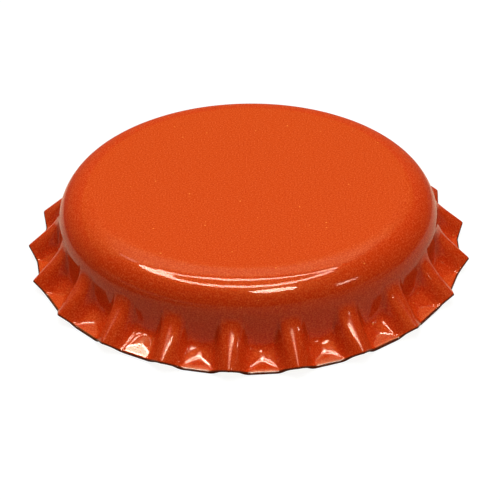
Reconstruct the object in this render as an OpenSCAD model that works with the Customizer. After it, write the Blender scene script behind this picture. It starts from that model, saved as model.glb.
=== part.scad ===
// Crown cap for a 26 mm bottle mouth, as it is before it is crimped:
// one pressed steel shell with a fluted skirt, and the sealing liner moulded inside it.
// Millimetres. The cap stands on its skirt at z = 0, centred on the Z axis, panel up.

/* [Shell] */
// Inside diameter of the wall, which slides over the bottle's mouth
inside_diameter = 26.75; // [25.75:0.05:27.5]
// Diameter over the tips of the teeth
overall_diameter = 32.1; // [31.6:0.1:33]
// Height from the resting edge to the top of the panel
height = 6; // [5.9:0.1:8]
// Thickness of the sheet
sheet = 0.24; // [0.18:0.01:0.28]
// Outside radius of the corner between the panel and the wall
corner_radius = 2.6; // [1.6:0.1:2.7]

/* [Fluted skirt] */
// Number of teeth
teeth = 21; // [18:1:24]
// Direction of the first ridge, in degrees from +X
first_ridge = 8.3; // [0:0.1:20]
// Height of a tooth's tip above the foot of the valleys
tip_height = 0.55; // [0.3:0.05:0.8]
// Radius of the fold along the outer end of a ridge
fold_radius = 0.34; // [0.32:0.01:0.5]
// How far the foot of a valley stands out from the wall
foot_reach = 1.75; // [1.5:0.01:2]
// Width of the straight edge at the foot of a valley
foot_width = 2.4; // [2:0.1:3]
// How far the flat triangle at the foot of a valley reaches inwards
foot_depth = 1; // [0.6:0.05:1.1]
// Width of that flat triangle's base, as a share of the distance between two ridges
foot_share = 0.4; // [0.3:0.05:0.5]
// Slope of that flat triangle, in degrees
foot_slope = 16; // [5:1:25]
// Height above the foot at which a ridge's slope would meet the wall
ridge_height = 2.65; // [2.2:0.05:2.75]
// Height above the foot at which a valley's slope would meet the wall
valley_height = 0.97; // [0.8:0.01:1.2]
// Length from a ridge's corner with the wall to either end of the bend there
ridge_bend = 1.1; // [0.4:0.05:1.2]
// Length from a valley's corner with the wall to either end of the bend there
valley_bend = 0.4; // [0.3:0.05:0.6]
// Sharpness of those bends
bend_sharpness = 0.85; // [0.7:0.05:2]
// Width of a ridge where it meets the wall, as a share of the distance between two ridges
ridge_share = 0.45; // [0.35:0.05:0.55]
// How steeply the height at the wall drops from a ridge to a valley
flank_steepness = 5.5; // [3:0.5:7]
// How strongly a ridge widens towards the wall
ridge_flare = 0.85; // [0.4:0.05:1.2]

/* [Liner] */
// Thickness of the web in the middle of the liner
web = 0.25; // [0.15:0.05:0.4]
// Gap between the liner's rim and the wall
rim_gap = 0.45; // [0.3:0.05:0.8]
// Width of the sealing bead, over both lips
bead_width = 3.2; // [2.4:0.1:4]
// Width of each lip
lip_width = 0.9; // [0.6:0.1:1]
// How far the outer lip stands down from the panel
outer_lip = 1.1; // [0.9:0.05:1.3]
// How far the inner lip stands down from the panel
inner_lip = 1; // [0.8:0.05:1.3]
// Thickness of the bead in the groove between its lips
groove = 0.6; // [0.4:0.05:0.7]
// Gap between the liner and the curve of the corner
corner_gap = 0.02; // [0.01:0.01:0.05]

/* [Hidden] */
$fn = 96;

wall_radius = inside_diameter / 2 + sheet;
corner_centre = wall_radius - corner_radius;
corner_height = height - corner_radius;
ceiling = height - sheet;

half_pitch = 180 / teeth;
// The skirt's wall lies this far outside the drawn wall, where it takes it in.
seam = 0.01;
skirt_radius = wall_radius + seam;
// Before the cavity is cut, the skirt's wall is this much thicker inwards than the sheet.
spare = 0.05;
// The skirt's wall ends here, and the drawn wall ends further down, inside it.
skirt_top = corner_height - 0.02;
lap = 0.08;

foot_radius = wall_radius + foot_reach;
// Where the straight edges of neighbouring valleys would cross, under a ridge.
crossing_radius = foot_radius / cos(half_pitch);
foot_angle = asin(foot_width / 2 / crossing_radius);
flank_angle = half_pitch - foot_angle;
tip_reach = overall_diameter / 2 - crossing_radius;
flank_length = crossing_radius * flank_angle * PI / 180;
flank_slope = norm([tip_reach, tip_height]) / flank_length;
fold_angle = fold_radius * flank_slope / flank_length * flank_angle;
crease = 0.06;
// The outer corner of the cut edge stands this high, so that its inner corner touches z = 0.
lift = sheet * cos(foot_slope);
// No bend starts higher on the wall than this, measured from the foot.
bend_top = skirt_top - lap - lift;
// Along a ridge the edge strip is this wide, and the flat triangle grows out of it.
strip_width = 0.2;
blend = 0.1;
// Places across the valley, 0 at the flat triangle's corner and 1 in the middle, between
// which the strip swings from the ridge's slope to the triangle's.
swing_start = -0.5;
swing_end = 0.1;

// Steps in half a tooth, how they crowd towards the ridge, and rows in the bend.
half_steps = 7;
crowding = 1.1;
bend_rows = 4;
// The bend, then the straight slope, then the flat triangle or strip, one row each.
rows = bend_rows + 3;
columns = teeth * half_steps * 2;

// 0 below x = 0 and x above it, rounded over a width k.
function ramp(x, k) = (x + sqrt(x * x + k * k)) / 2;

// A tent over the ridge, 1 at its crest and 0 in the valley, with a rounded top and foot.
function raw_tent(a) = ramp(1 - (norm([a, fold_angle]) - fold_angle) / flank_angle, crease);
function tent(a) = (raw_tent(a) - raw_tent(half_pitch)) / (raw_tent(0) - raw_tent(half_pitch));

// Outer edge of the skirt; u runs from -1 to 1 across a tooth, with the crest at 0.
function edge_point(u) =
    let (a = u * half_pitch, t = tent(a))
    let (r = foot_radius / cos(half_pitch - abs(a)) + tip_reach * t)
    [r * cos(a), r * sin(a), tip_height * t];

// 1 over a ridge and 0 over a valley, with a steep drop between them.
function raw_step(g) = 1 / (1 + pow(abs(g) / ridge_share, flank_steepness));
function height_step(g) = (raw_step(g) - raw_step(1)) / (1 - raw_step(1));

// Where the slope that ends at edge_point(u) would meet the wall.
function spread(u) = u * (1 + ridge_flare * pow(max(1 - abs(u), 0), 3));
function wall_point(u) =
    let (g = spread(u), a = g * half_pitch)
    let (z = valley_height + (ridge_height - valley_height) * height_step(g))
    [skirt_radius * cos(a), skirt_radius * sin(a), z];

// Top of the flat triangle in a valley; on a ridge, a point of the slope close to the edge.
function fold_point(u) =
    let (edge = edge_point(u), up = wall_point(u) - edge, side = u < 0 ? -1 : 1)
    let (out = [cos(half_pitch), side * sin(half_pitch), 0])
    let (flat = [0, 0, sin(foot_slope)] - cos(foot_slope) * out)
    let (v = (abs(u) - 1 + foot_share) / foot_share)
    let (x = min(max((v - swing_start) / (swing_end - swing_start), 0), 1))
    let (w = x * x * (3 - 2 * x))
    let (reach = strip_width + (foot_depth - strip_width) * ramp(v, blend) / ramp(1, blend))
    edge + reach * ((1 - w) * up / norm(up) + w * flat);

// A point of the skirt's outer surface; s runs from 0 on the wall through the bend to 1, down
// the straight slope to 2 at the fold point, and on to 3 at the edge.
function skirt_point(u, s) =
    let (ridge = (1 + cos(180 * u)) / 2)
    let (bend = valley_bend + (ridge_bend - valley_bend) * ridge)
    let (corner = wall_point(u), fold = fold_point(u), down = fold - corner)
    let (start = [corner[0], corner[1], min(corner[2] + bend, bend_top)])
    let (end = corner + bend * down / norm(down), t = min(s, 1))
    let (w0 = (1 - t) * (1 - t), w1 = 2 * bend_sharpness * t * (1 - t), w2 = t * t)
    s > 2 ? fold + (s - 2) * (edge_point(u) - fold)
        : s > 1 ? end + (s - 1) * (fold - end)
        : (w0 * start + w1 * corner + w2 * end) / (w0 + w1 + w2);

// The outward normal there, from small steps either way.
step = 0.004;
function skirt_normal(u, s) =
    let (d = step, s0 = max(s - d, 0), s1 = min(s + d, 3))
    let (du = skirt_point(u + d, s) - skirt_point(u - d, s))
    let (ds = skirt_point(u, s1) - skirt_point(u, s0))
    let (n = cross(ds, du))
    n / norm(n);

// The sheet's inner face; the spare thickness dies out below the bend.
function inner_point(u, s) =
    skirt_point(u, s) - (sheet + (seam + spare) * pow(max(1 - s, 0), 4)) * skirt_normal(u, s);

function turned(p, a) = [p[0] * cos(a) - p[1] * sin(a), p[0] * sin(a) + p[1] * cos(a), p[2]];

// Column i's tooth angle and its place across that tooth.
function tooth_angle(i) = first_ridge + floor(i / (2 * half_steps)) * 2 * half_pitch;
function place(i) =
    let (x = (i % (2 * half_steps)) / half_steps - 1)
    sign(x) * pow(abs(x), crowding);

// Rows: 0 is the skirt's top, 1 to bend_rows + 1 the bend, then the fold and the edge.
function row_place(j) = j > bend_rows + 1 ? j - bend_rows : max(j - 1, 0) / bend_rows;
function settled(p, j, i) =
    turned([p[0], p[1], j == 0 ? skirt_top : p[2] + lift], tooth_angle(i));
function outer_ring(j) = [for (i = [0:columns - 1])
    settled(skirt_point(place(i), row_place(j)), j, i)];
function inner_ring(j) = [for (i = [0:columns - 1])
    settled(inner_point(place(i), row_place(j)), j, i)];

// Two triangles between ring a and ring b at column i, with the diagonal leaning to the crest.
function strip(a, b) = [for (i = [0:columns - 1])
    let (k = (i + 1) % columns, leans = i % (2 * half_steps) < half_steps)
    let (p = a * columns + i, q = a * columns + k, r = b * columns + k, t = b * columns + i)
    each leans ? [[p, q, t], [q, r, t]] : [[p, q, r], [p, r, t]]];

module fluted_skirt() {
    outer = [for (j = [0:rows]) each outer_ring(j)];
    inner = [for (j = [rows:-1:0]) each inner_ring(j)];
    last = 2 * rows + 1;
    faces = concat([for (j = [0:last - 1]) each strip(j, j + 1)], strip(last, 0));
    polyhedron(points = concat(outer, inner), faces = faces, convexity = 10);
}

// Outline of the rounded panel and wall, from the axis out and from z = low up.
module rounded_outline(centre_r, centre_z, radius, low) {
    translate([0, low]) square([centre_r, centre_z + radius - low]);
    translate([0, low]) square([centre_r + radius, centre_z - low]);
    intersection() {
        translate([centre_r, centre_z]) circle(radius);
        translate([centre_r, centre_z]) square(radius);
    }
}

module drawn_cup() {
    rotate_extrude() rounded_outline(corner_centre, corner_height, corner_radius, skirt_top - lap);
}

module cavity() {
    below = -1;
    rotate_extrude() rounded_outline(corner_centre, corner_height, corner_radius - sheet, below);
}

// Pressed steel shell: flat panel, round corner, wall and fluted skirt in one sheet.
module crown_shell() {
    color([0.86, 0.3, 0.1])
    difference() {
        union() {
            drawn_cup();
            fluted_skirt();
        }
        cavity();
    }
}

module lip(centre_r, depth) {
    translate([centre_r - lip_width / 2, ceiling - depth + lip_width / 2])
        square([lip_width, depth - lip_width / 2]);
    translate([centre_r, ceiling - depth + lip_width / 2]) circle(lip_width / 2);
}

// Moulded liner: a thin web and a sealing bead with two lips, seated on the panel.
module sealing_liner() {
    rim = inside_diameter / 2 - rim_gap;
    fillet = corner_radius - sheet;
    color([0.9, 0.89, 0.85])
    rotate_extrude()
    intersection() {
        union() {
            translate([0, ceiling - web]) square([rim - bead_width + lip_width, web]);
            translate([rim - bead_width, ceiling - groove]) square([bead_width, groove]);
            lip(rim - bead_width + lip_width / 2, inner_lip);
            lip(rim - lip_width / 2, outer_lip);
        }
        union() {
            square([corner_centre, ceiling]);
            rounded_outline(corner_centre, corner_height, fillet - corner_gap, 0);
        }
    }
}

crown_shell();
sealing_liner();
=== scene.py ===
# Crown bottle cap: lacquered steel shell with its fluted skirt, and the moulded liner inside it.
import math
import bpy
import numpy as np
from mathutils import Matrix, Vector


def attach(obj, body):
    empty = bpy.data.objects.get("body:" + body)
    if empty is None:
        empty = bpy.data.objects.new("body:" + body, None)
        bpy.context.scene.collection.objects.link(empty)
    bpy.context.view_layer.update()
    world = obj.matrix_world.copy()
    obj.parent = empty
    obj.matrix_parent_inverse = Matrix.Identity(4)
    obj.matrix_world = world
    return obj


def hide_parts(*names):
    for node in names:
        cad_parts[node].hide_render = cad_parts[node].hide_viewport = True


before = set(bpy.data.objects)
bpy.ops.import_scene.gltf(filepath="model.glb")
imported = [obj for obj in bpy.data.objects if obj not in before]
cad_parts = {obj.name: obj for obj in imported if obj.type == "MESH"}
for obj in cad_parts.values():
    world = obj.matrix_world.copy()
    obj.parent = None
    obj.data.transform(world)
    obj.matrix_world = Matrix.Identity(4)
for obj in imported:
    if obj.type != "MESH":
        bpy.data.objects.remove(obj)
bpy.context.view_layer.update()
print("frame loaded")

mm = 0.001
upright = np.array([0, 0, 1.0])
scene = bpy.context.scene
scene.view_settings.view_transform = "Standard"

# Millimetres and degrees. Most are the solid's own values, but here the ridges fold more sharply and stand
# a little higher at the wall, their flanks are steeper, and the feet of the valleys are narrower.
shell = {
    "insideDiameter": 26.75, "overallDiameter": 32.1, "height": 6.0, "sheet": 0.24, "cornerRadius": 2.6,
    "teeth": 21, "firstRidge": 8.3,
    "unevenPitch": (0.85, 56.0, 0.49, 84.0),  # how far the teeth stray once and twice a turn, and where most
    # the edge: a straight foot in each valley and a folded tip on each ridge
    "footReach": 1.75, "footWidth": 2.24, "tipHeight": 0.55, "foldRadius": 0.16, "crease": 0.06,
    # the flat triangle at the foot of each valley, and the strip that runs from it along the edge
    "footDepth": 1.0, "footSlope": 16.0, "footShare": 0.4, "apexRounding": 0.08,
    "stripWidth": 0.3, "blend": 0.1, "swingStart": -0.5, "swingEnd": 0.1,
    "steepFeet": {14: 33.5},  # valleys whose foot was crimped to another slope, counted round from the right
    # the height at which the flutes leave the wall, and the bend there
    "ridgeHeight": 2.78, "valleyHeight": 0.945, "ridgeShare": 0.45, "flankSteepness": 8.0, "ridgeFlare": 0.85,
    "peakShare": 0.16, "peakRounding": 0.06,
    "ridgeBend": 1.1, "valleyBend": 0.4, "bendSharpness": 0.85,
    "bendIntoCorner": 0.2,  # how far up the round corner a bend may start
    # the cut edge: how far it rolls over outside, and the radius inside
    "edgeRoll": 0.2, "edgeRounding": 0.06,
    "edgeCoat": (2, 3),  # how many of its rings have all their lacquer, and how many have any
    # the grid
    "columnsPerTooth": 48, "crowding": 1.2,  # columns crowd towards the ridge
    "bendRows": 12, "slopeRows": 9, "slopeCrowding": 0.8, "footRows": 10, "foldSoftening": 6,
    "edgeRows": 5, "wallRows": 3, "insideWallRows": 2, "wallLap": 0.02,
    "cornerRows": 14, "cornerEnd": 6.0,
    "panelRings": (0.4, 2.5, 5, 7.5, 9.5), "ceilingRings": (9, 6, 3, 0.4), "flatMargin": 0.4,
    # the lacquer's wear: half widths of the bands where a fold stretched it
    "legWear": 0.08, "footWear": 0.05, "footWearShare": 0.5, "wearFade": 0.06,
    "apexWear": (0.22, 0.4),  # to the sides, and up
    "crimpedHardest": (-78.0, 52.0, 8.0),  # where that shows: middle of the arc, half its width, its soft end
    "crestWear": 0.13, "crestWearStart": 0.5, "crestWearFade": 0.3,  # the dulled band on a ridge
    # painted shade in the corners beside a ridge's head: how dark, then place and half size across and down
    "cornerShadeShare": 0.26, "cornerShadeAcross": (0.42, 0.13), "cornerShadeDown": (0.4, 0.35),
}
wallRadius = shell["insideDiameter"] / 2 + shell["sheet"]
cornerCentre = wallRadius - shell["cornerRadius"]
cornerHeight = shell["height"] - shell["cornerRadius"]
ceiling = shell["height"] - shell["sheet"]
halfPitch = 180 / shell["teeth"]
footRadius = wallRadius + shell["footReach"]
crossingRadius = footRadius / math.cos(math.radians(halfPitch))  # where neighbouring feet would cross
flankAngle = halfPitch - math.degrees(math.asin(shell["footWidth"] / 2 / crossingRadius))
flankLength = crossingRadius * math.radians(flankAngle)
tipReach = shell["overallDiameter"] / 2 - crossingRadius
flankSlope = math.hypot(tipReach, shell["tipHeight"]) / flankLength
foldAngle = shell["foldRadius"] * flankSlope / flankLength * flankAngle
# The outer corner of the cut edge stands this high, so that its inner corner is at z = 0.
lift = shell["sheet"] * math.cos(math.radians(shell["footSlope"]))
bendTop = cornerHeight + shell["bendIntoCorner"] - lift


def unit(vector):  # the same direction, one long
    return vector / np.linalg.norm(vector, axis=-1, keepdims=True)


def polar(radius, angle, height):  # that far from the axis, that far round it in radians, and that high
    return np.stack([radius * np.cos(angle), radius * np.sin(angle), height + 0 * angle], -1)


def ramp(x, width):  # 0 below x = 0 and x above it, rounded over that width by a hyperbola
    return (x + np.sqrt(x * x + width * width)) / 2


def bell(x, width):  # 1 at 0, falling away to either side as e to the minus square
    return np.exp(-(x / width) ** 2)


def tent(angle):  # straight from 1 on the ridge down to 0 in the valley, with a rounded top and foot
    def raw(x):
        return ramp(1 - (np.hypot(x, foldAngle) - foldAngle) / flankAngle, shell["crease"])
    return (raw(angle) - raw(halfPitch)) / (raw(0.0) - raw(halfPitch))


# In what follows, across runs from -1 to 1 over one tooth, with its ridge at 0 and its valleys at the ends,
# and down runs from 0 on the wall to 1 below the bend, 2 at the foot of the straight slope and 3 at the edge.
def edgePoint(across):
    # Outer edge: straight across the foot of a valley, and pulled out and up to the tip by the tent
    angle = across * halfPitch
    rise = tent(angle)
    radius = footRadius / np.cos(np.radians(halfPitch - np.abs(angle))) + tipReach * rise
    return polar(radius, np.radians(angle), shell["tipHeight"] * rise)


def heightStep(across):  # 1 over a ridge and 0 over a valley, with a steep drop: one over one plus a power
    def raw(x):
        return 1 / (1 + (np.abs(x) / shell["ridgeShare"]) ** shell["flankSteepness"])
    return (raw(across) - raw(1)) / (1 - raw(1))


def heightPeak(across):  # 1 over a ridge and 0 over a valley, straight between them and rounded at both
    rounding = shell["peakRounding"]
    full = math.hypot(1, rounding) - rounding
    return 0.5 + 0.5 * (np.hypot(1 - np.abs(across), rounding) - np.hypot(across, rounding)) / full


def wallPoint(across):
    # Where the slope that ends at the edge would meet the wall: its height is mostly the step, with some of
    # the peak, and each ridge widens towards the wall
    aside = np.abs(across)
    spread = np.sign(across) * (aside + shell["ridgeFlare"] * aside * np.maximum(1 - aside, 0) ** 3)
    rise = (1 - shell["peakShare"]) * heightStep(spread) + shell["peakShare"] * heightPeak(spread)
    height = shell["valleyHeight"] + (shell["ridgeHeight"] - shell["valleyHeight"]) * rise
    return polar(wallRadius, np.radians(spread * halfPitch), height)


def foldPoint(across, footSlope):
    # Top of the flat triangle in a valley; on a ridge, a point of its slope near the edge. From the edge, its
    # distance grows from the strip's to the triangle's, and its direction swings to the foot's slope
    edge = edgePoint(across)
    slope = np.radians(footSlope)
    valley = np.where(across < 0, -1.0, 1.0) * math.radians(halfPitch)
    flat = polar(-np.cos(slope), valley, np.sin(slope))
    aside = np.hypot(1 - np.abs(across), shell["apexRounding"]) - shell["apexRounding"]
    place = 1 - aside / shell["footShare"]  # 0 at the triangle's corner and 1 in the middle of the valley
    swing = np.clip((place - shell["swingStart"]) / (shell["swingEnd"] - shell["swingStart"]), 0, 1)
    swing = (swing * swing * (3 - 2 * swing))[..., None]
    growth = ramp(place, shell["blend"]) / ramp(1.0, shell["blend"])
    reach = shell["stripWidth"] + (shell["footDepth"] - shell["stripWidth"]) * growth
    return edge + reach[..., None] * ((1 - swing) * unit(wallPoint(across) - edge) + swing * flat)


def skirtPoint(across, down, footSlope):
    # The bend is the weighted mean of its start, the corner it rounds and its end; straight lines follow it
    ridge = (1 + np.cos(math.pi * across)) / 2
    bend = (shell["valleyBend"] + (shell["ridgeBend"] - shell["valleyBend"]) * ridge)[..., None]
    corner, fold, edge = wallPoint(across), foldPoint(across, footSlope), edgePoint(across)
    start, end = corner + bend * upright, corner + bend * unit(fold - corner)
    start[..., 2] = np.minimum(start[..., 2], bendTop)
    inBend, inSlope, inFoot = (np.clip(down - first, 0, 1)[..., None] for first in (0, 1, 2))
    fromStart, fromEnd = (1 - inBend) ** 2, inBend * inBend
    fromCorner = 2 * shell["bendSharpness"] * inBend * (1 - inBend)
    curve = (fromStart * start + fromCorner * corner + fromEnd * end) / (fromStart + fromCorner + fromEnd)
    return curve + (fold - end) * inSlope + (edge - fold) * inFoot


def aroundTeeth(points, tooth):
    # Each column turned to its tooth's place, then shifted round the axis by one wave a turn and by two
    once, onceAt, twice, twiceAt = shell["unevenPitch"]
    radius, angle = np.hypot(points[..., 0], points[..., 1]), np.arctan2(points[..., 1], points[..., 0])
    angle = angle + np.radians(shell["firstRidge"] + 2 * halfPitch * tooth)
    stray = once * np.cos(angle - math.radians(onceAt)) + twice * np.cos(2 * angle - math.radians(twiceAt))
    return polar(radius, angle + np.radians(stray), points[..., 2])


def columnPlaces():
    # Where each column lies across its tooth, even steps raised to a power, and which tooth it is in
    half = shell["columnsPerTooth"] // 2
    even = np.arange(-half, half) / half
    across = np.tile(np.sign(even) * np.abs(even) ** shell["crowding"], shell["teeth"])
    return across, np.repeat(np.arange(shell["teeth"]), len(even))


def rowPlaces():
    # Even steps down the bend, the slope and the foot, with those of the slope raised to a power
    bend, slope, foot = (np.linspace(0, 1, shell[name] + 1) for name in ("bendRows", "slopeRows", "footRows"))
    return np.concatenate([bend, 1 + slope[1:] ** shell["slopeCrowding"], 2 + foot[1:]])


def footSlopes(across, tooth):
    # Slope of the flat triangle that each column ends in; a valley is shared by the teeth on its two sides
    slopes = np.full(shell["teeth"], shell["footSlope"])
    for valley, slope in shell["steepFeet"].items():
        slopes[valley] = slope
    return slopes[(tooth + (across > 0)) % shell["teeth"]]


def outerSkirt(across, down, footSlope):
    # Outer face of the skirt, with its foot drawn back to leave room for the edge's roll, and folds softened
    outer = skirtPoint(across, down, footSlope)
    outer = outer - shell["edgeRoll"] * unit(outer[-1] - outer[-2]) * np.clip(down - 2, 0, 1)[..., None]
    for _ in range(shell["foldSoftening"]):  # each point averaged with its neighbours up and down the sheet
        outer[1:-1] = (outer[:-2] + 2 * outer[1:-1] + outer[2:]) / 4
    return outer


def sheetNormal(outer, across, down, footSlope):
    # Square to the sheet: the cross product of the way down from ring to ring and a small step sideways
    step = 0.004
    sideways = skirtPoint(across + step, down, footSlope) - skirtPoint(across - step, down, footSlope)
    return unit(np.cross(np.gradient(outer, axis=0), sideways))


def cutEdge(edge, along, normal):
    # Round the cut edge, as a centre plus the cosine and sine of the turn: a quarter of an ellipse from the
    # outer face over to the cut, then part of a circle back. Along is the way the sheet would go on.
    roll, radius = shell["edgeRoll"], shell["edgeRounding"]
    turn = np.radians(np.linspace(0, 90, shell["edgeRows"] + 1))[:, None, None]
    lip = edge - radius * normal + radius * normal * np.cos(turn) + roll * along * np.sin(turn)
    centre = edge + (roll - radius) * along - (shell["sheet"] - radius) * normal
    heel = centre + radius * (along * np.cos(turn[::2]) - normal * np.sin(turn[::2]))
    return lip, heel


def flatRings(radii, height, around):  # rings of those radii at one height
    return np.asarray(radii)[:, None, None] * around + height * upright


def cornerRings(radius, angles, around):
    # Out from the corner's centre by each angle's cosine, and up from it by the sine
    out, up = cornerCentre + radius * np.cos(angles), cornerHeight + radius * np.sin(angles)
    return out[:, None, None] * around + up[:, None, None] * upright


def wallRings(radius, bendStart, rows, around):
    # Even steps straight down, from just above the highest bend to where each column's bend starts
    share = np.linspace(0, 1, rows + 1)[:-1, None, None]
    top = bendTop + lift + shell["wallLap"]
    return radius * around + ((1 - share) * top + share * bendStart) * upright


def roundAxis(share, points):  # a share of half a tooth, as millimetres round the axis at those points
    return share * math.radians(halfPitch) * np.hypot(points[..., 0], points[..., 1])


def stretchMarks(across, down, points):
    # 1 where a sharp fold has stretched the lacquer: a bell over the distance from the fold round the flat
    # triangle, a fainter one over the distance from the edge, and a patch over the triangle's top
    gaps = np.linalg.norm(np.diff(points, axis=0), axis=-1)
    length = np.concatenate([0 * gaps[:1], np.cumsum(gaps, 0)])  # millimetres down the sheet from the wall
    fold = length[np.argmin(np.abs(down[:, 0] - 2))]
    inFoot = np.clip((np.abs(across) - 1 + shell["footShare"]) / shell["wearFade"], 0, 1)
    leg = inFoot * bell(length - fold, shell["legWear"])
    foot = shell["footWearShare"] * inFoot * bell(length - length[-1], shell["footWear"])
    wide, high = shell["apexWear"]
    apex = bell(roundAxis(1 - np.abs(across), points), wide) * bell(np.maximum(fold - length, 0), high)
    return np.maximum(np.maximum(leg, foot), apex * (down <= 2))


def hardestCrimped(across, tooth):  # 1 within an arc of the skirt and 0 outside it, straight between them
    middle, reach, soft = shell["crimpedHardest"]
    angle = shell["firstRidge"] + halfPitch * (2 * tooth + across)
    aside = np.abs((angle - middle + 180) % 360 - 180)
    return np.clip((reach - aside) / soft + 0.5, 0, 1)


def scuffMarks(across, down, points):  # 1 along a ridge, where handling has dulled the coat: a bell across it
    below = np.clip((down - shell["crestWearStart"]) / shell["crestWearFade"], 0, 1)
    return bell(roundAxis(np.abs(across), points), shell["crestWear"]) * below


def cornerShadeMarks(across, down):  # painted shade, most in the corners beside a ridge's head: a bell across times a bell down
    (side, wide), (below, high) = shell["cornerShadeAcross"], shell["cornerShadeDown"]
    return shell["cornerShadeShare"] * bell(np.abs(across) - side, wide) * bell(down - below, high)


def band(rings, slot, stretched=0, scuffed=0, thin=0):
    # Some rings, their material slot, how far their lacquer is stretched and scuffed, and how far its colour
    # is darkened: by thin lacquer at the cut edge, and by painted shade in the corners beside a ridge's head
    marks = [np.broadcast_to(mark, rings.shape[:2]) for mark in (stretched, scuffed, thin)]
    return rings, np.full(len(rings), slot), *marks


def shellRings():
    # The whole sheet, from the middle of the panel out, down the skirt, round the cut edge and back inside,
    # where every second ring is left out
    columns, tooth = columnPlaces()
    slopes = footSlopes(columns, tooth)
    across, down = np.meshgrid(columns, rowPlaces())
    outer = outerSkirt(across, down, slopes)
    normal = sheetNormal(outer, across, down, slopes)
    stretched = stretchMarks(across, down, outer) * hardestCrimped(columns, tooth)
    # the skirt's painted shade in the corners beside each ridge's head
    scuffed, cornerShade = scuffMarks(across, down, outer), cornerShadeMarks(across, down)
    outer[..., 2] += lift
    inner = (outer - shell["sheet"] * normal)[::-2]
    lip, heel = cutEdge(outer[-1], unit(outer[-1] - outer[-2]), normal[-1])
    around = polar(1, np.arctan2(outer[0, :, 1], outer[0, :, 0]), 0)
    bow = np.radians(np.linspace(90, shell["cornerEnd"], shell["cornerRows"] + 1)[:-1])
    flatEnd, bendStart = cornerCentre - shell["flatMargin"], outer[0, :, 2:]
    insideWall = wallRings(wallRadius - shell["sheet"], bendStart, shell["insideWallRows"], around)
    lacquered, cut, bare = range(3)  # the material slots
    whole, some = shell["edgeCoat"]
    bands = [
        band(flatRings([*shell["panelRings"], flatEnd], shell["height"], around), lacquered),
        band(cornerRings(shell["cornerRadius"], bow, around), lacquered),
        band(wallRings(wallRadius, bendStart, shell["wallRows"], around), lacquered),
        band(outer[:-1], lacquered, stretched[:-1], scuffed[:-1], cornerShade[:-1]),
        band(lip[:whole], lacquered, stretched[-1]),
        band(lip[whole:some], lacquered, stretched[-1], thin=1),
        band(lip[some:], cut, stretched[-1], thin=1),
        band(heel, cut),
        band(inner[1:], bare),
        band(insideWall[::-1], bare),
        band(cornerRings(shell["cornerRadius"] - shell["sheet"], bow[::-2], around), bare),
        band(flatRings([flatEnd, *shell["ceilingRings"]], ceiling, around), bare),
    ]
    rings, slots, *marks = (np.concatenate(column) for column in zip(*bands))
    return aroundTeeth(rings, tooth), slots[:-1], dict(zip(("stretched", "scuffed", "thin"), marks))


def addObject(name, data, materials=()):  # at the origin, because a mesh holds its own place
    for material in materials:
        data.materials.append(material)
    thing = bpy.data.objects.new(name, data)
    scene.collection.objects.link(thing)
    return thing


def revolvedPiece(name, rings, slots, materials):
    # Quads between each ring of points and the next, and a fan of triangles to the middle of either end ring.
    # The rings are in millimetres from one pole to the other; slots: the material of the band after each ring
    count, columns = rings.shape[:2]
    poles = np.array([rings[0].mean(0), rings[-1].mean(0)])
    verts = np.concatenate([rings.reshape(-1, 3), poles]) * mm
    column = np.arange(columns)
    following = (column + 1) % columns
    first = np.arange(count - 1)[:, None] * columns
    second, last = first + columns, (count - 1) * columns
    quads = np.stack([first + column, second + column, second + following, first + following], -1)
    top = np.stack([np.full(columns, last + columns), column, following], -1)
    low = np.stack([np.full(columns, last + columns + 1), last + following, last + column], -1)
    corners = np.concatenate([quads.ravel(), top.ravel(), low.ravel()])
    sizes = np.repeat([4, 3], [quads.size // 4, 2 * columns])
    mesh = bpy.data.meshes.new(name)
    mesh.vertices.add(len(verts))
    mesh.vertices.foreach_set("co", verts.ravel())
    mesh.loops.add(len(corners))
    mesh.loops.foreach_set("vertex_index", corners)
    mesh.polygons.add(len(sizes))
    mesh.polygons.foreach_set("loop_start", np.cumsum(sizes) - sizes)
    mesh.polygons.foreach_set("material_index", np.repeat([*slots, slots[0], slots[-1]], columns))
    mesh.polygons.foreach_set("use_smooth", np.ones(len(sizes), bool))
    mesh.update(calc_edges=True)
    mesh.validate()
    return addObject(name, mesh, materials)


def setInputs(tree, node, inputs):
    # Each input takes a number, a vector or a colour, or is linked from another node's output
    for name, value in inputs.items():
        if isinstance(value, bpy.types.NodeSocket):
            tree.links.new(value, node.inputs[name])
        else:
            node.inputs[name].default_value = value


def addNode(tree, kind, inputs=None, **settings):  # its settings come first, because they decide its inputs
    node = tree.nodes.new(kind)
    for name, value in settings.items():
        setattr(node, name, value)
    setInputs(tree, node, inputs or {})
    return node


def newMaterial(name):  # with its node tree and its main shader
    material = bpy.data.materials.new(name)
    material.use_nodes = True
    tree = material.node_tree
    return material, tree, tree.nodes["Principled BSDF"]


def noise(tree, scale, detail=2.0, stretch=None):  # cloudy values from 0 to 1, in blobs of 1 / scale metres
    place = addNode(tree, "ShaderNodeTexCoord").outputs["Object"]
    if stretch:
        place = addNode(tree, "ShaderNodeMapping", {"Vector": place, "Scale": stretch}).outputs["Vector"]
    clouds = addNode(tree, "ShaderNodeTexNoise", {"Vector": place, "Scale": scale, "Detail": detail})
    return clouds.outputs["Fac"]


def colourRamp(tree, value, stops):  # each stop is a place from 0 to 1 and the colour there
    node = addNode(tree, "ShaderNodeValToRGB", {"Fac": value})
    elements = node.color_ramp.elements
    for element, (position, colour) in zip(elements, (stops[0], stops[-1])):
        element.position, element.color = position, (*colour, 1)
    for position, colour in stops[1:-1]:
        elements.new(position).color = (*colour, 1)
    return node.outputs["Color"]


def grey(level):  # the same red, green and blue
    return level, level, level


def mixColours(tree, share, first, second):  # the first where the share is 0, and the second where it is 1
    mix = addNode(tree, "ShaderNodeMix", {"Factor": share, "A": first, "B": second}, data_type="RGBA")
    return mix.outputs["Result"]


def maths(tree, operation, first, second):  # that operation on two numbers or outputs
    return addNode(tree, "ShaderNodeMath", {0: first, 1: second}, operation=operation).outputs[0]


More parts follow.
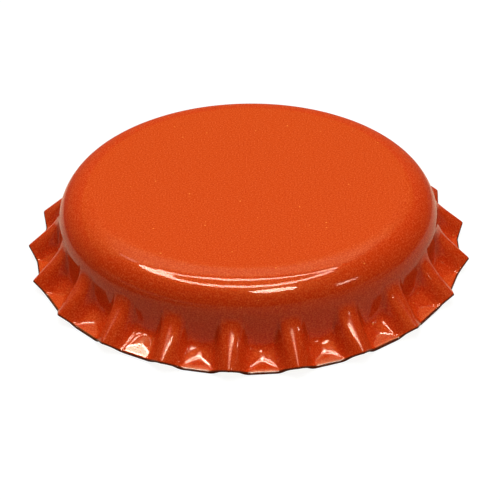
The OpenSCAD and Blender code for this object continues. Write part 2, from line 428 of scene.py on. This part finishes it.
def mapRange(tree, value, given=(0, 1), wanted=(0, 1)):  # from one range to another, held at its ends
    inputs = dict(zip(("From Min", "From Max", "To Min", "To Max"), (*given, *wanted)))
    return addNode(tree, "ShaderNodeMapRange", {"Value": value, **inputs}).outputs[0]


def relief(tree, height, depth):  # a normal that leans with that height, as if it were so many metres deep
    return addNode(tree, "ShaderNodeBump", {"Height": height, "Distance": depth}).outputs["Normal"]


def meshMark(tree, name):  # a value kept on each point of the mesh
    return addNode(tree, "ShaderNodeAttribute", attribute_name=name).outputs["Fac"]


lacquerLook = {  # spacing, sizes and depths in metres
    "tones": [(0.30, (0.66, 0.026, 0.0008)), (0.50, (0.74, 0.050, 0.0034)), (0.72, (0.84, 0.105, 0.026))],
    "flakeSize": 0.0001, "flakeDepth": 0.000006, "roughness": 0.55,
    "edgeAndShadeColour": (0.12, 0.020, 0.007),  # where the lacquer ends, and as painted shade in the corners beside a ridge's head
    # painted glints: pale spots in the paint standing in for flakes that catch the light
    "glintColour": (1.0, 0.27, 0.05), "glintSpacing": 0.0006,
    "glintRadius": 0.09, "glintShare": 0.12,  # as shares of the spacing and of the cells
    "pearlColour": (1.0, 0.42, 0.09), "pearlRoughness": 0.35, "pearlShare": 0.004,
    # the clear coat where it is whole, and where a fold has stretched it
    "coat": {"Coat Weight": (0.35, 1.0), "Coat IOR": (1.33, 1.65), "Coat Roughness": (0.045, 0.25)},
    "scuffedRoughness": 0.33,
    "speckSize": 0.00012, "speckTones": [(0.35, grey(0.3)), (0.6, grey(1))],
    "peelSize": 0.0007, "peelDepth": 0.0000009,
}


def paintedGlints(tree, ground):
    # Painted glints for a few flakes that would catch the light: in some cells of a coarse grid, a small pale
    # spot at the cell's point
    place = addNode(tree, "ShaderNodeTexCoord").outputs["Object"]
    cells = addNode(tree, "ShaderNodeTexVoronoi", {"Vector": place, "Scale": 1 / lacquerLook["glintSpacing"]})
    chance = addNode(tree, "ShaderNodeSeparateColor", {0: cells.outputs["Color"]}).outputs[0]
    near = maths(tree, "LESS_THAN", cells.outputs["Distance"], lacquerLook["glintRadius"])
    chosen = maths(tree, "LESS_THAN", chance, lacquerLook["glintShare"])
    return mixColours(tree, maths(tree, "MULTIPLY", near, chosen), ground, (*lacquerLook["glintColour"], 1))


def lacquerPaint(tree):  # the paint and its flakes, with painted glints where a few flakes would catch the light, dark where the lacquer ends, painted shade in the corners beside a ridge's head, and the flakes' relief
    flakes = noise(tree, 1 / lacquerLook["flakeSize"], detail=1.0)
    # pale spots painted over the paint as glints of flakes
    paint = paintedGlints(tree, colourRamp(tree, flakes, lacquerLook["tones"]))
    # darkened at the cut edge, and by painted shade in the corners beside a ridge's head
    paint = mixColours(tree, meshMark(tree, "thin"), paint, (*lacquerLook["edgeAndShadeColour"], 1))
    return {"Base Color": paint, "Normal": relief(tree, flakes, lacquerLook["flakeDepth"])}


def lacquerCoat(tree):
    # The clear coat: strong and dull where it is stretched, in marks that break up into specks, duller still
    # where it is scuffed, and with a faint orange peel
    specks = colourRamp(tree, noise(tree, 1 / lacquerLook["speckSize"]), lacquerLook["speckTones"])
    stretched = maths(tree, "MULTIPLY", meshMark(tree, "stretched"), specks)
    coat = {name: mapRange(tree, stretched, wanted=values) for name, values in lacquerLook["coat"].items()}
    dulled = (coat["Coat Roughness"], lacquerLook["scuffedRoughness"])
    coat["Coat Roughness"] = mapRange(tree, meshMark(tree, "scuffed"), wanted=dulled)
    coat["Coat Normal"] = relief(tree, noise(tree, 1 / lacquerLook["peelSize"]), lacquerLook["peelDepth"])
    return coat


def lacquer():
    # Paint under a clear coat, with a little of a second gloss: the faint gold sheen of flakes lying flat
    material, tree, shader = newMaterial("orangePearlLacquer")
    setInputs(tree, shader, lacquerPaint(tree))
    setInputs(tree, shader, lacquerCoat(tree))
    setInputs(tree, shader, {"Roughness": lacquerLook["roughness"], "Specular IOR Level": 0.0})
    sheen = {"Color": (*lacquerLook["pearlColour"], 1), "Roughness": lacquerLook["pearlRoughness"]}
    pearl = addNode(tree, "ShaderNodeBsdfAnisotropic", sheen)
    shares = {"Fac": lacquerLook["pearlShare"], 1: shader.outputs[0], 2: pearl.outputs[0]}
    mix = addNode(tree, "ShaderNodeMixShader", shares)
    setInputs(tree, tree.nodes["Material Output"], {"Surface": mix.outputs[0]})
    return material


cutLook = {  # grains to the metre, and their depth in metres
    "tones": [(0.3, (0.10, 0.016, 0.006)), (0.7, (0.22, 0.036, 0.012))],
    "grain": 9000, "stretch": (1, 1, 0.25), "depth": 0.00001, "roughness": 0.5,
}


def cutSteel():  # fine upright grain in two tones
    material, tree, shader = newMaterial("cutSteelEdge")
    grain = noise(tree, cutLook["grain"], detail=3.0, stretch=cutLook["stretch"])
    setInputs(tree, shader, {
        "Base Color": colourRamp(tree, grain, cutLook["tones"]), "Roughness": cutLook["roughness"],
        "Specular IOR Level": 0.0, "Normal": relief(tree, grain, cutLook["depth"]),
    })
    return material


steelLook = {  # grains to the metre, drawn out along the rolling, and their depth in metres
    "tones": [(0.3, (0.60, 0.55, 0.46)), (0.7, (0.72, 0.67, 0.58))],
    "roughness": [(0.2, grey(0.22)), (0.8, grey(0.34))],
    "grain": 4000, "stretch": (0.08, 1, 1), "depth": 0.000002, "coatWeight": 0.6, "coatRoughness": 0.08,
}


def clearCoatedSteel():  # rolled metal, whose tone and roughness both follow its lines
    material, tree, shader = newMaterial("clearCoatedSteel")
    rolled = noise(tree, steelLook["grain"], detail=4.0, stretch=steelLook["stretch"])
    setInputs(tree, shader, {
        "Base Color": colourRamp(tree, rolled, steelLook["tones"]), "Metallic": 1.0,
        "Roughness": colourRamp(tree, rolled, steelLook["roughness"]),
        "Coat Weight": steelLook["coatWeight"], "Coat Roughness": steelLook["coatRoughness"],
        "Normal": relief(tree, rolled, steelLook["depth"]),
    })
    return material


rings, slots, marks = shellRings()
capShell = revolvedPiece("capShell", rings, slots, [lacquer(), cutSteel(), clearCoatedSteel()])
for name, values in marks.items():
    attribute = capShell.data.attributes.new(name, "FLOAT", "POINT")
    attribute.data.foreach_set("value", np.concatenate([values.ravel(), [0, 0]]))  # the two poles have none
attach(capShell, "root")
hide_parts("crown_shell")
print("shell made", len(capShell.data.polygons), "faces")

liner = {  # millimetres
    "web": 0.25, "rimGap": 0.45, "beadWidth": 3.2, "lipWidth": 0.9, "outerLip": 1.1, "innerLip": 1.0,
    "groove": 0.6, "cornerGap": 0.02,
    "topRings": (0.3, 4, 8), "topMargin": 0.3, "shoulderRings": 10, "rimMargin": 0.08, "lipRings": 13,
    "grooveRings": 6, "grooveMargin": 0.08, "webMargin": 0.1, "webRings": (8, 5, 2, 0.3), "columns": 240,
}
linerLook = {  # clouds and grains to the metre, and the grains' depth in metres
    "tones": [(0.3, (0.72, 0.71, 0.66)), (0.7, (0.80, 0.79, 0.75))],
    "clouds": 300, "grain": 5000, "depth": 0.000006, "roughness": 0.42, "specular": 0.4,
}


def levelPoints(radii, height):  # radius and height of rings that lie at one height
    return np.stack([radii, np.full(len(radii), height)], -1)


def lipPoints(centre, depth):  # half a circle round the lip's end, that far below the ceiling
    half, turn = liner["lipWidth"] / 2, np.radians(np.linspace(0, 180, liner["lipRings"]))
    return np.stack([centre + half * np.cos(turn), ceiling - depth + half - half * np.sin(turn)], -1)


def linerRings():
    # A profile of radius and height carried round the axis: out along the web's top, down inside the shell's
    # corner, and back over both lips, the groove between them and the web's underside
    half, rim = liner["lipWidth"] / 2, shell["insideDiameter"] / 2 - liner["rimGap"]
    bow = shell["cornerRadius"] - shell["sheet"] - liner["cornerGap"]
    reach = np.linspace(cornerCentre, rim - liner["rimMargin"], liner["shoulderRings"])
    shoulder = np.stack([reach, cornerHeight + np.sqrt(bow ** 2 - (reach - cornerCentre) ** 2)], -1)
    shoulder[0, 1] = ceiling
    outerCentre, innerCentre = rim - half, rim - liner["beadWidth"] + half
    margin = half + liner["grooveMargin"]
    between = np.linspace(outerCentre - margin, innerCentre + margin, liner["grooveRings"])
    profile = np.concatenate([
        levelPoints([*liner["topRings"], cornerCentre - liner["topMargin"]], ceiling),
        shoulder,
        lipPoints(outerCentre, liner["outerLip"]),
        levelPoints(between, ceiling - liner["groove"]),
        lipPoints(innerCentre, liner["innerLip"]),
        levelPoints([innerCentre - half - liner["webMargin"], *liner["webRings"]], ceiling - liner["web"]),
    ])
    angle = 2 * math.pi * np.arange(liner["columns"]) / liner["columns"]
    return polar(profile[:, :1], angle, profile[:, 1:])


def linerPlastic():  # faintly cloudy, with a fine moulded grain
    material, tree, shader = newMaterial("mouldedLinerPlastic")
    clouds = noise(tree, linerLook["clouds"], detail=3.0)
    grain = noise(tree, linerLook["grain"], detail=3.0)
    setInputs(tree, shader, {
        "Base Color": colourRamp(tree, clouds, linerLook["tones"]), "Roughness": linerLook["roughness"],
        "Specular IOR Level": linerLook["specular"], "Normal": relief(tree, grain, linerLook["depth"]),
    })
    return material


profileRings = linerRings()
capLiner = revolvedPiece("capLiner", profileRings, np.zeros(len(profileRings) - 1, int), [linerPlastic()])
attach(capLiner, "root")
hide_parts("sealing_liner")
print("liner made", len(capLiner.data.polygons), "faces")

studio = {
    "floorRadius": 2.5, "floorSides": 64, "floorColour": (0.2, 0.2, 0.2),  # metres
    "floorGlow": 0.88,  # as the camera sees it
    "floorMirrored": [  # what the cap mirrors of it: metres from front to back, with the colour there
        (-0.012, (1.5, 1.4, 0.85)), (0.0, (1.65, 1.35, 0.95)),
        (0.013, (1.65, 1.35, 0.95)), (0.019, (0.1, 0.13, 0.06)),
    ],
    "floorEnds": ((-0.028, -0.024), (0.090, 0.035)),  # metres across, from nothing to full, on left and right
    # the room: directions along each axis from -1 to 1, from where a glow is nothing to where it is full
    "roomGlow": (0.04, 0.04, 0.04), "fill": 0.06,
    "farWall": [  # upward direction, with the colour there
        (0.40, (0.1, 0.32, 0.14)), (0.47, (1.0, 1.2, 0.2)), (0.59, (1.1, 1.3, 0.35)), (0.66, (2.6, 2.4, 0.6)),
        (0.85, (5.0, 5.3, 2.6)), (0.97, (5.5, 6.0, 3.0)), (0.995, (0.04, 0.04, 0.04)),
    ],
    "farWallBack": (0.12, 0.24), "farWallRight": (0.56, 0.40),
    "nearGlow": (1.6, 1.5, 0.9), "nearFront": (0.1, -0.3), "nearTop": (0.13, 0.06),
    "ribbonHeight": 300, "ribbonColour": (1.0, 0.80, 0.63), "ribbonPoints": 60, "ribbonSmoothing": 6,
    "ribbons": {  # brightness, then millimetres across, back and wide for each point of the path
        "tailLight": (12, [(-252, 110, 14), (-236, 88, 34), (-214, 54, 40)]),
        "endLight": (105, [(-224, 36, 8), (-210, 6, 62), (-190, -28, 76), (-160, -52, 34)]),
        "arcLight": (80, [
            (-184, -62, 46), (-164, -88, 44), (-134, -110, 42), (-98, -126, 40), (-61, -134, 40),
            (-6, -139, 40), (48, -133, 38), (98, -100, 40), (128, -72, 24), (150, -38, 28), (160, -18, 24)]),
        "lineLight": (80, [
            (-168, 10, 40), (-140, 3, 26), (-112, -14, 18), (-82, -8, 24), (-50, -14, 36), (0, -15, 36),
            (40, -9, 24), (72, -6, 12), (100, 2, 18), (135, 8, 22), (158, 14, 22)]),
        "shortLight": (110, [
            (2, -256, 26), (30, -256, 64), (60, -246, 92), (88, -233, 92), (112, -221, 80), (130, -213, 62),
            (144, -207, 50)]),
        "lowLight": (75, [
            (452, -336, 56), (475, -326, 84), (514, -310, 82), (560, -286, 60), (620, -268, 30)]),
    },
    "lamps": {  # direction from the cap in degrees round and up, width in degrees, strength, colour
        "overheadLight": (0, 89, 50, 1.16, (1, 1.15, 1.1)),
        "backLight": (90, 50, 50, 1.0, (1, 1.15, 1.1)),
        "leftBackLight": (152, 40, 50, 0.60, (1, 0.92, 0.87)),
        "rightFrontLight": (-30, 50, 50, 0.62, (1, 0.86, 0.75)),
        "frontLight": (-90, 15, 40, 0.25, (1, 0.7, 0.6)),
    },
}


def axesOf(tree, coordinates):  # X, Y and Z of those texture coordinates
    place = addNode(tree, "ShaderNodeTexCoord").outputs[coordinates]
    return addNode(tree, "ShaderNodeSeparateXYZ", {0: place}).outputs


def emission(tree, inputs):  # a glow of that colour and strength
    return addNode(tree, "ShaderNodeEmission", inputs).outputs[0]


def bothShaders(tree, first, second):  # their light added up
    return addNode(tree, "ShaderNodeAddShader", {0: first, 1: second}).outputs[0]


def rayKinds(tree):  # 1 on the camera's rays, and 1 on those that a gloss or a glass sends out
    path = addNode(tree, "ShaderNodeLightPath").outputs
    return path["Is Camera Ray"], maths(tree, "MAXIMUM", path["Is Glossy Ray"], path["Is Transmission Ray"])


def paleFloor():
    # White to the camera. Its mirror image in the cap is one colour after another from front to back, and it
    # ends on the left and right.
    material, tree, shader = newMaterial("paleFloor")
    tree.nodes.remove(shader)
    seen, mirrored = rayKinds(tree)
    x, y = axesOf(tree, "Object")[:2]
    front, back = studio["floorMirrored"][0][0], studio["floorMirrored"][-1][0]
    stops = [((place - front) / (back - front), colour) for place, colour in studio["floorMirrored"]]
    for end in studio["floorEnds"]:
        mirrored = maths(tree, "MULTIPLY", mirrored, mapRange(tree, x, end))
    image = {"Color": colourRamp(tree, mapRange(tree, y, (front, back)), stops), "Strength": mirrored}
    glow = emission(tree, {"Strength": maths(tree, "MULTIPLY", seen, studio["floorGlow"])})
    diffuse = addNode(tree, "ShaderNodeBsdfDiffuse", {"Color": (*studio["floorColour"], 1)}).outputs[0]
    surface = bothShaders(tree, diffuse, bothShaders(tree, glow, emission(tree, image)))
    setInputs(tree, tree.nodes["Material Output"], {"Surface": surface})
    return material


def addFloor():  # a flat disc at the height of the cap's foot
    corner = np.arange(studio["floorSides"])
    rim = polar(studio["floorRadius"], 2 * math.pi * corner / studio["floorSides"], 0)
    mesh = bpy.data.meshes.new("floor")
    mesh.from_pydata(rim.tolist(), [], [corner.tolist()])
    addObject("floor", mesh, [paleFloor()])


def addWorld():
    # Seen or mirrored, the far wall glows by height except at its right-hand end, a pale strip glows low on
    # the near side, and the rest of the room is dim. The cap itself is lit by an even grey.
    world = bpy.data.worlds.new("studio")
    world.use_nodes = True
    tree = world.node_tree
    x, y, z = axesOf(tree, "Generated")
    front, low = mapRange(tree, y, studio["nearFront"]), mapRange(tree, z, studio["nearTop"])
    near = maths(tree, "MULTIPLY", front, low)
    room = mixColours(tree, near, (*studio["roomGlow"], 1), (*studio["nearGlow"], 1))
    back, left = mapRange(tree, y, studio["farWallBack"]), mapRange(tree, x, studio["farWallRight"])
    far = maths(tree, "MULTIPLY", back, left)
    room = mixColours(tree, far, room, colourRamp(tree, z, studio["farWall"]))
    image = tree.nodes["Background"]
    setInputs(tree, image, {"Color": room, "Strength": maths(tree, "MAXIMUM", *rayKinds(tree))})
    fill = addNode(tree, "ShaderNodeBackground", {"Strength": studio["fill"]})
    surface = bothShaders(tree, image.outputs[0], fill.outputs[0])
    setInputs(tree, tree.nodes["World Output"], {"Surface": surface})
    scene.world = world


def glowingRibbon(name, strength):  # a material that only shines
    material, tree, shader = newMaterial(name)
    tree.nodes.remove(shader)
    glow = emission(tree, {"Color": (*studio["ribbonColour"], 1), "Strength": strength})
    setInputs(tree, tree.nodes["Material Output"], {"Surface": glow})
    return material


def addRibbon(name, strength, points):
    # A long lamp overhead, seen only as a mirror image: a smoothed path, with half its width on either side
    points, count = np.asarray(points, float), studio["ribbonPoints"]
    length = np.concatenate([[0], np.cumsum(np.linalg.norm(np.diff(points[:, :2], axis=0), axis=1))])
    even = np.linspace(0, length[-1], count)
    path = np.stack([np.interp(even, length, points[:, k]) for k in range(3)], -1)
    for _ in range(studio["ribbonSmoothing"]):  # each point averaged with its neighbours
        path[1:-1] = (path[:-2] + 2 * path[1:-1] + path[2:]) / 4
    width = path[:, 2:] * mm
    path = np.concatenate([path[:, :2], np.full((count, 1), studio["ribbonHeight"])], -1) * mm
    side = unit(np.cross(np.gradient(path, axis=0), upright)) * width / 2
    start = np.arange(count - 1)
    faces = np.stack([start, start + 1, count + start + 1, count + start], -1)
    mesh = bpy.data.meshes.new(name)
    mesh.from_pydata(np.concatenate([path - side, path + side]).tolist(), [], faces.tolist())
    ribbon = addObject(name, mesh, [glowingRibbon(name, strength)])
    ribbon.visible_camera = ribbon.visible_diffuse = ribbon.visible_shadow = False


def addLamp(name, around, up, width, strength, colour):
    # A far soft lamp in that direction, for the paint only: its mirror image is left to the ribbons
    direction = Vector(polar(math.cos(math.radians(up)), math.radians(around), math.sin(math.radians(up))))
    data = bpy.data.lights.new(name, "SUN")
    data.angle, data.energy, data.color = math.radians(width), strength, colour
    lamp = addObject(name, data)
    lamp.rotation_euler = direction.to_track_quat("Z", "Y").to_euler()
    lamp.visible_glossy = False


addFloor()
addWorld()
for name, (strength, points) in studio["ribbons"].items():
    addRibbon(name, strength, points)
for name, lamp in studio["lamps"].items():
    addLamp(name, *lamp)
print("floor and lights made")

view = {  # metres, degrees, pixels, and the sensor in millimetres
    "distance": 0.16471, "elevation": 32.531, "roll": -0.812, "aimX": 0.0001014, "aimZ": 0.000246,
    "focalPixels": 2257.4, "imagePixels": 500, "sensor": 36.0, "clipStart": 0.005, "clipEnd": 20,
}


def addCamera():
    # In front of the cap and above it, looking at the aim, then rolled about the line of sight
    elevation, roll = math.radians(view["elevation"]), math.radians(view["roll"])
    place = view["distance"] * np.array([0, -math.cos(elevation), math.sin(elevation)])
    forward = unit(np.array([view["aimX"], 0, view["aimZ"]]) - place)
    right = unit(np.cross(forward, upright))
    up = np.cross(right, forward)
    matrix = np.eye(4)
    matrix[:3, 0] = math.cos(roll) * right + math.sin(roll) * up
    matrix[:3, 1] = math.cos(roll) * up - math.sin(roll) * right
    matrix[:3, 2], matrix[:3, 3] = -forward, place
    data = bpy.data.cameras.new("camera")
    data.sensor_width = view["sensor"]
    data.lens = view["focalPixels"] / view["imagePixels"] * view["sensor"]
    data.clip_start, data.clip_end = view["clipStart"], view["clipEnd"]
    scene.camera = addObject("camera", data)
    scene.camera.matrix_world = Matrix(matrix.tolist())


addCamera()
print("camera placed")
